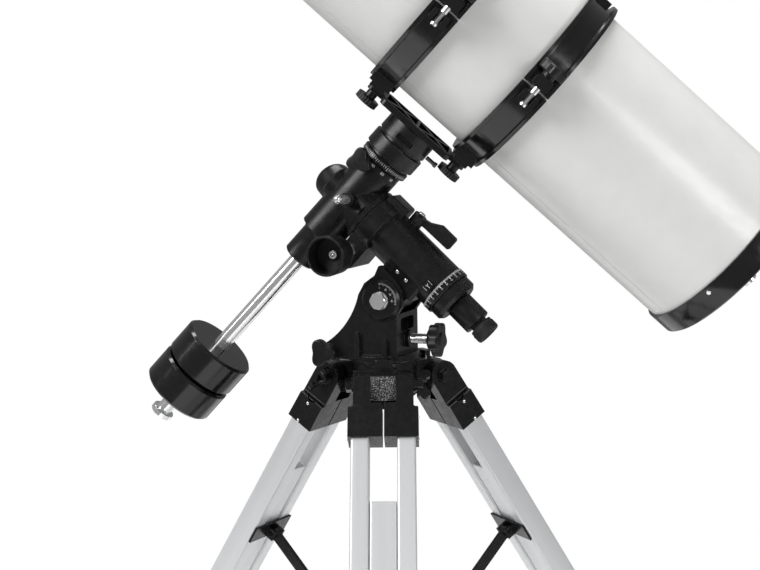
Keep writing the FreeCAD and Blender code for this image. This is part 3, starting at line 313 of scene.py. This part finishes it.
def lathe(bm, profile, matrix=Matrix(), segments=40):
    """Turns an outline of (radius, height) points about z; it is closed at both ends on the axis."""
    rings = []
    for radius, height in profile:
        count = 1 if radius == 0 else segments
        ring = []
        for k in range(count):
            angle = 2 * math.pi * k / segments
            ring.append(bm.verts.new(matrix @ turned(radius, angle, height)))
        rings.append(ring)
    for one, two in zip(rings, rings[1:]):
        for k in range(segments):
            corners = (one[k % len(one)], one[(k + 1) % len(one)],
                       two[(k + 1) % len(two)], two[k % len(two)])
            unique = list(dict.fromkeys(corners))
            if len(unique) > 2:
                bm.faces.new(unique)


def hoop(bm, profile, matrix=Matrix(), segments=96, start=0.0, stop=360.0):
    """Turns a closed outline of (radius, height) points about z, all round or part of the way."""
    whole = stop - start >= 360
    steps = segments if whole else segments + 1
    rings = []
    for k in range(steps):
        angle = math.radians(start + (stop - start) * k / segments)
        rings.append([bm.verts.new(matrix @ turned(r, angle, z)) for r, z in profile])
    for one, two in zip(rings, rings[1:] + (rings[:1] if whole else [])):
        band(bm, one, two)
    if not whole:
        bm.faces.new(rings[0])
        bm.faces.new(rings[-1])


def chip(bm, matrix, wide, long, thick):
    """A thin chip centred on a frame's origin, rising along its z: one mark of a scale."""
    corners = [(sx * wide / 2, sy * long / 2, sz * thick)
               for sz in (0, 1) for sx, sy in ((-1, -1), (1, -1), (1, 1), (-1, 1))]
    v = [bm.verts.new(matrix @ Vector(c)) for c in corners]
    for face in ((0, 1, 2, 3), (4, 5, 6, 7), (0, 1, 5, 4), (1, 2, 6, 5), (2, 3, 7, 6), (3, 0, 4, 7)):
        bm.faces.new([v[k] for k in face])


def digits(bm, matrix, text, size, thick):
    """Raised numerals centred on a frame's origin, in its xy plane."""
    curve = bpy.data.curves.new("numerals", "FONT")
    curve.body = text
    curve.size = size
    curve.align_x, curve.align_y = "CENTER", "CENTER"
    curve.extrude = thick / 2
    curve.resolution_u = 3
    holder = bpy.data.objects.new("numerals", curve)
    mesh = bpy.data.meshes.new_from_object(holder)
    mesh.transform(matrix @ Matrix.Translation((0, 0, thick / 2)))
    bm.from_mesh(mesh)
    bpy.data.objects.remove(holder)
    bpy.data.curves.remove(curve)
    bpy.data.meshes.remove(mesh)


def on_cylinder(radius, degrees, height):
    """A frame on a cylinder about z: its z points outwards and its y along the cylinder's axis."""
    turn = Matrix.Rotation(math.radians(degrees), 4, "Z")
    upright = Matrix(((0, 0, 1), (1, 0, 0), (0, 1, 0))).to_4x4()
    return turn @ Matrix.Translation((radius, 0, height)) @ upright


def on_disc(radius, degrees, height):
    """A frame on a disc: its z along the disc's axis and its y outwards."""
    return Matrix.Rotation(math.radians(degrees - 90), 4, "Z") @ Matrix.Translation((0, radius, height))


def dome(r, high, steps=6):
    """The outline of a rivet's head, from the rim up to the middle."""
    angles = [math.radians(90 * k / steps) for k in range(1, steps)]
    return [(r, 0)] + [(r * math.cos(a), high * math.sin(a)) for a in angles] + [(0, high)]


def rivet(name, matrix, r, high, body):
    bm = bmesh.new()
    lathe(bm, [(0, -0.3), (r, -0.3)] + dome(r, high), segments=28)
    piece(name, bm, matrix, CHROME, body)


def thread(name, matrix, core, crest, low, high, pitch, body):
    """A screw thread as a skin over a round shank."""
    bm = bmesh.new()
    around, along = 24, int((high - low) / pitch * 6)
    rows = []
    for j in range(along + 1):
        z = low + (high - low) * j / along
        row = []
        for k in range(around):
            phase = (z / pitch - k / around) % 1.0
            r = core + (crest - core) * (1 - abs(2 * phase - 1))
            row.append(bm.verts.new(turned(r, 2 * math.pi * k / around, z)))
        rows.append(row)
    for one, two in zip(rows, rows[1:]):
        band(bm, one, two)
    bm.faces.new(rows[0])
    bm.faces.new(rows[-1])
    piece(name, bm, matrix, CHROME, body, sharp=60)


def from_axis(centre):
    """Distance of a point from its frame's z axis, in millimetres."""
    return math.hypot(centre.x, centre.y)


def from_line(centre, y=0.0, z=0.0):
    """Distance of a point from a line along its frame's x axis, in millimetres."""
    return math.hypot(centre.y - y, centre.z - z)


def on_rails(half_wide, inside, outside, end):
    """A test for the faces of a leg's two rails, from their outer surfaces."""
    return lambda c: (abs(c.x) < half_wide + NEAR and inside - NEAR < abs(c.y) < outside + NEAR
                      and c.z < end + NEAR)


# ---------------------------------------------------------------- tripod
def tripod():
    dress("tripod_head", BASE, CASTING, (BLACK_GLOSS, lambda c: c.z > -1.4 and from_axis(c) > 48))
    peg = pointing(BASE, (0, 0, 0), (0, 0, 1))
    dress("head_fittings", peg, BARE, (CASTING, lambda c: c.z > -2 and from_axis(c) > 45),
          (PLASTIC, lambda c: from_axis(c) < 20))
    dress("leg_hinge_bolts", BASE, BLACK_GLOSS)
    for n in LEGS:
        leg, body = LEG[n], "leg_" + n
        dress("leg_bracket_" + n, leg, CASTING)
        dress("leg_rails_" + n, leg, CASTING, (RAIL, on_rails(15, 16.5, 38.5, 490)))
        dress("leg_inner_" + n, leg, RUBBER, (RAIL, on_rails(12.5, 0, 16, 800)))
        dress("brace_arm_" + n, leg, CASTING)
        for mark, side in (("a", -1), ("b", 1)):
            for count, (x, z) in enumerate(((-2, 43), (-3, 71))):
                spot = pointing(leg, (x, side * 42, z), (0, side, 0))
                rivet(f"rivet_{n}_{mark}{count}", spot, 2.1, 1.0, body)
    dress("accessory_tray", BASE, PLASTIC)


# ---------------------------------------------------------------- mount
def mount():
    dress("mount_base", BASE, CASTING)
    shank = BASE @ Matrix.Translation((-59 * MM, 0, 13 * MM))
    for name, knob_start in (("near", 42), ("far", 62)):
        dress("azimuth_screw_" + name, shank, PLASTIC,
              (CHROME, lambda c, end=knob_start: math.hypot(c.x, c.z) < SHANK_R and abs(c.y) < end))
    dress("latitude_axle", PIVOT, CHROME)
    dress("latitude_screw", LATITUDE_SCREW, PLASTIC,
          (CHROME, lambda c: from_axis(c) < 6.2 and c.z < 0))
    latitude_scale()
    dress("ra_housing", POLAR, CASTING)
    dress("ra_circle", POLAR, CASTING)
    polar_sight()
    dress("ra_worm", RA_WORM, CHROME)
    dress("ra_knob", RA_WORM, PLASTIC)
    dress("ra_lever", POLAR, PLASTIC)
    dress("dec_housing", TURNED, CASTING)
    dress("ra_shaft", TURNED, CHROME)
    dress("counterweight_bar", TURNED, CHROME)
    dress("dec_worm", DEC_WORM, CHROME)
    dress("dec_knob", DEC_WORM, PLASTIC)
    dress("dec_clamp_knob", TURNED, PLASTIC)
    for n in ("inner", "outer"):
        dress("counterweight_" + n, DEC, BLACK_GLOSS)
        dress("weight_screw_" + n, DEC, PLASTIC)
    dress("dec_shaft", DEC, CHROME)
    dress("dec_head", DEC, CASTING,
          (DARK_STEEL, lambda c: from_axis(c) > 34 + NEAR and 95 < c.z < 108))
    dress("mounting_plate", TUBE, CASTING)
    dress("ring_fixing_knobs", TUBE, PLASTIC)
    ra_scale()
    dec_scale()


def polar_sight():
    """The sight's long tube with its flared rear, and the ribbed eyepiece with its lens."""
    bm = bmesh.new()
    hoop(bm, [(9, -226), (11, -226), (11, -222), (16.4, -222), (17.2, -221.6), (17.5, -220.8),
              (17.5, -191), (17.2, -189.6), (16, -188.6), (11, -188.6), (11, -27.5), (9, -27.5)])
    tube_looks = piece("polar_scope_looks", bm, POLAR, PLASTIC, "polar_housing")
    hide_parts("polar_scope")
    bm = bmesh.new()
    ribs = [(16 - 0.5 * (k % 2), -231.6 - 0.7 * k) for k in range(12)]
    front = [(8.5, -228), (11.2, -226.5), (14.6, -226.5), (15, -226.9), (15, -230), (15.6, -230.8)]
    rear = [(15.6, -240.4), (14.5, -242), (11.5, -242), (9.4, -239.6), (8.5, -236)]
    hoop(bm, front + ribs + rear)
    cup_looks = piece("polar_eyepiece_looks", bm, POLAR, RUBBER, "polar_eyepiece",
                      sharp=20)
    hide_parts("polar_eyepiece")
    bm = bmesh.new()
    lathe(bm, [(0, -237.4), (4, -237.1), (8.5, -236), (8.6, -235.6), (8.6, -232), (0, -232)])
    piece("polar_eyepiece_lens", bm, POLAR, GLASS, "polar_eyepiece")


def latitude_scale():
    """Marks and numerals round the near disc of the latitude axle, from twelve to four o'clock."""
    disc = axes(place("latitude"), x=SOUTH, z=-EAST)
    face, high = 42.5, 0.12
    bm = bmesh.new()
    for k in range(36):
        degrees = 93 - 3 * k
        long = 3.6 if k % 5 == 1 else 2.2
        chip(bm, on_disc(21.7 - long / 2, degrees, face), 0.26, long, high)
    for k, text in enumerate(("0", "30", "60", "90")):
        digits(bm, on_disc(15.6, 90 - 30 * k, face), text, 3.0, high)
    piece("latitude_scale", bm, disc, PRINT, "azimuth", sharp=60)


def ra_scale():
    """Hour marks and numerals on the right ascension circle, and the arrow that reads them."""
    bm = bmesh.new()
    radius, rim = 32.0, -160.9
    for k in range(144):
        long = 4.4 if k % 6 == 0 else 2.6 if k % 3 == 0 else 1.8
        spot = on_cylinder(radius, 2.5 * k, rim - long / 2)
        chip(bm, spot, 0.5 if k % 6 else 0.9, long, PRINT_HIGH)
    for k in range(24):
        digits(bm, on_cylinder(radius, 15 * k, -167.3), str(k), 2.6, PRINT_HIGH)
    piece("ra_circle_scale", bm, POLAR, PRINT, "ra_circle", sharp=60)
    bm = bmesh.new()
    inside, outside, front = radius - 0.3, radius + 0.15, -160.3
    hoop(bm, [(inside, rim), (outside, rim), (outside, front), (inside, front)])
    piece("ra_circle_bright_edge", bm, POLAR, BRIGHT_RING, "ra_circle")
    bm = bmesh.new()
    outwards = axes(Vector(), x=Vector((1, 0, 0)), z=Vector((0, -1, 0)))
    face = Matrix.Translation((0, -36, -152)) @ outwards
    for x in (-5, 5):
        chip(bm, face @ Matrix.Translation((x, 0, 0)), 0.4, 7.2, PRINT_HIGH)
    for turn, long in ((0, 4.2), (135, 2.6), (-135, 2.6)):
        arm = Matrix.Rotation(math.radians(turn), 4, "Z") @ Matrix.Translation((0, -long / 2, 0))
        chip(bm, face @ arm, 0.6, long, PRINT_HIGH)
    piece("ra_index_arrow", bm, POLAR, PRINT, "polar_housing", sharp=60)


def dec_scale():
    """Degree marks on the declination circle, and numerals on the housing's rim below it."""
    circle, rim = 33.0, 29.0
    bm = bmesh.new()
    for k in range(72):
        long = 4.6 if k % 6 == 0 else 3.2
        chip(bm, on_cylinder(circle, 5 * k, 63.6 - long / 2), 0.5, long, PRINT_HIGH)
    piece("dec_circle_scale", bm, DEC, PRINT, "cradle", sharp=60)
    bm = bmesh.new()
    for k in range(12):
        value = abs((30 * k + 90) % 180 - 90)
        digits(bm, on_cylinder(rim, 30 * k, 52.0), str(value), 5.2, PRINT_HIGH)
    piece("dec_housing_numerals", bm, DEC, PRINT, "dec_housing", sharp=60)


def small_fittings():
    """Screws, washers and threads of the mount."""
    for z in (-111, -126):
        spot = pointing(POLAR, (-18, -27.5, z), (0, -1, 0))
        rivet(f"housing_screw_{-z}", spot, 2.2, 0.45, "polar_housing")
    knobs = (("ra", RA_WORM, 78, "ra_slow_motion"), ("dec", DEC_WORM, 58, "dec_slow_motion"))
    for name, worm, top, body in knobs:
        bm = bmesh.new()
        low, high = top + 0.05, top + 0.9
        hoop(bm, [(3.4, low), (4.9, low), (4.9, high), (3.4, high)], segments=40)
        piece(name + "_knob_washer", bm, worm, CHROME, body)
        rivet(name + "_knob_screw", pointing(worm, (0, 0, top + 0.3), (0, 0, 1)), 2.6, 1.6, body)
    lever = axes(place("ra_lever"), z=axis("ra_lever"), y=EAST)
    top = 47 - (place("ra_lever") - place("polar_axis")).dot(axis("ra_lever")) / MM
    rivet("ra_lever_cap", pointing(lever, (0, 0, top), (0, 0, 1)), 4.6, 1.2, "ra_lever")
    thread("latitude_screw_thread", LATITUDE_SCREW, 5.6, 6.5, -23, -1, 1.75, "latitude_screw")


# ---------------------------------------------------------------- tube and rings
def tube():
    dress("tube_rings_lower", TUBE, BLACK_GLOSS, (CHROME, lambda c: from_line(c, 132) < 3.03))
    for n in ("front", "rear"):
        dress("ring_top_" + n, TUBE, BLACK_GLOSS)
        knob = axes(place("ring_knob_" + n), x=axis("tube_turn"), z=axis("declination_axis"))
        dress("ring_knob_" + n, knob, PLASTIC, (CHROME, lambda c: from_axis(c) < SHANK_R and c.z < -4))
    dress("optical_tube", TUBE, ENAMEL, (FLAT_BLACK, lambda c: from_line(c) < 114.4))
    dress("front_ring", TUBE, BLACK_GLOSS)
    dress("mirror_cell", TUBE, BLACK_GLOSS,
          (CHROME, lambda c: abs(from_line(c) - 76) < 9.2 and c.x > 376))
    dress("primary_mirror", TUBE, MIRROR_EDGE, (MIRROR, lambda c: from_line(c) < 101 and c.x < 360))
    dress("spider", TUBE, FLAT_BLACK)
    dress("secondary_mirror", TUBE, MIRROR)
    dress("focuser_body", OPTIC, CASTING)
    dress("drawtube", OPTIC, CHROME, (PLASTIC, lambda c: c.z > 178 and from_axis(c) > 19.5))
    dress("focus_knobs", FOCUSER, PLASTIC,
          (CHROME, lambda c: math.hypot(c.x, c.z) < 6.3 and abs(c.y) < 42))
    dress("eyepiece", OPTIC, PLASTIC,
          (GLASS, lambda c: from_axis(c) < 13.5 - NEAR and 195 < c.z < 253),
          (RUBBER, lambda c: c.z > 241), (CHROME, lambda c: c.z < 215.1))
    dress("finder_bracket", TUBE, CASTING)
    finder = turned(162, math.radians(95), 0)   # where its axis crosses the tube's yz plane
    dress("finder_scope", TUBE, BLACK_GLOSS,
          (GLASS, lambda c: from_line(c, *finder.xy) < 15 - NEAR and -427 < c.x < -420),
          (GLASS, lambda c: from_line(c, *finder.xy) < 9 - NEAR and c.x > -231))
    tube_fittings()


def tube_fittings():
    """Screws round both ends of the tube, the rolled seam along it, and felt inside the rings."""
    round_tube = pointing(TUBE, (0, 0, 0), (1, 0, 0))
    for name, along, count in (("front", -532, 8), ("rear", 377, 6)):
        bm = bmesh.new()
        for k in range(count):
            head = [(0, -0.6), (2.8, -0.6)] + dome(2.8, 0.9)
            lathe(bm, head, on_cylinder(118.2, 360 * k / count + 20, along), segments=24)
        piece(name + "_ring_screws", bm, round_tube, CHROME, "tube")
    bm = bmesh.new()
    chip(bm, on_cylinder(114.95, 240, -78), 8, 880, 0.35)
    piece("tube_seam", bm, round_tube, ENAMEL, "tube")
    for name, centre in (("front", -67), ("rear", 67)):
        for half, body, start in (("lower", "cradle", 182), ("upper", "ring_top_" + name, 2)):
            bm = bmesh.new()
            low, high = centre - 17.5, centre + 17.5
            strip = [(115.4, low), (115.95, low), (115.95, high), (115.4, high)]
            hoop(bm, strip, start=start, stop=start + 176)
            piece(f"felt_{name}_{half}", bm, round_tube, FELT, body)


# ---------------------------------------------------------------- stage
def stage():
    """A round pale floor, soft white surroundings and three soft boxes."""
    bm = bmesh.new()
    lathe(bm, [(0, -0.0009), (1.4, -0.0009), (1.402, -0.0005), (0, -0.0005)], segments=128)
    mesh = bpy.data.meshes.new("floor")
    bm.to_mesh(mesh)
    g = Graph("pale_floor")
    g.local = g.add("ShaderNodeTexCoord").outputs["Object"]
    tone = g.blend(g.span(g.noise(3, 4.0), 0, 1), (0.86, 0.86, 0.86), (0.9, 0.9, 0.9))
    g.link(tone, g.shader.inputs["Base Color"])
    g.link(g.span(g.noise(40), 0.6, 0.75), g.shader.inputs["Roughness"])
    mesh.materials.append(g.material)
    floor = bpy.data.objects.new("floor", mesh)
    bpy.context.scene.collection.objects.link(floor)

    world = bpy.data.worlds.new("studio")
    bpy.context.scene.world = world
    world.use_nodes = True
    tree = world.node_tree
    seen = tree.nodes.new("ShaderNodeLightPath").outputs["Is Camera Ray"]
    level = tree.nodes.new("ShaderNodeMapRange")
    level.inputs["To Min"].default_value = 0.24
    level.inputs["To Max"].default_value = 1.0
    tree.links.new(seen, level.inputs["Value"])
    tree.links.new(level.outputs["Result"], tree.nodes["Background"].inputs["Strength"])
    tree.nodes["Background"].inputs["Color"].default_value = (1, 1, 1, 1)

    middle = place("polar_axis")
    boxes = (("key", (-1.6, -2.2, 1.7), 1.9, 92), ("fill", (2.6, -1.4, 0.5), 1.0, 30),
             ("top", (0.2, 0.6, 2.6), 1.8, 85))
    for name, offset, size, power in boxes:
        light = bpy.data.lights.new(name, "AREA")
        light.size = size
        light.energy = power
        lamp = bpy.data.objects.new(name, light)
        lamp.location = middle + Vector(offset)
        lamp.rotation_euler = (middle - lamp.location).to_track_quat("-Z", "Y").to_euler()
        bpy.context.scene.collection.objects.link(lamp)


def camera():
    """Looks north-east and a little down, from the height of the mount."""
    lens = bpy.data.cameras.new("camera")
    lens.lens, lens.sensor_width = 69.16, 36.0
    eye = bpy.data.objects.new("camera", lens)
    head = BASE.translation
    back = Vector((0.3757, -0.9206, 0.1066)).normalized()
    right = Vector((0.9265, 0.3758, -0.0189)).normalized()
    eye.matrix_world = axes(head + Vector((0.678, -1.673, 0.286)), x=right, y=back.cross(right))
    bpy.context.scene.collection.objects.link(eye)
    bpy.context.scene.camera = eye
    bpy.context.scene.view_settings.view_transform = "Standard"


tripod()
mount()
small_fittings()
tube()
stage()
camera()
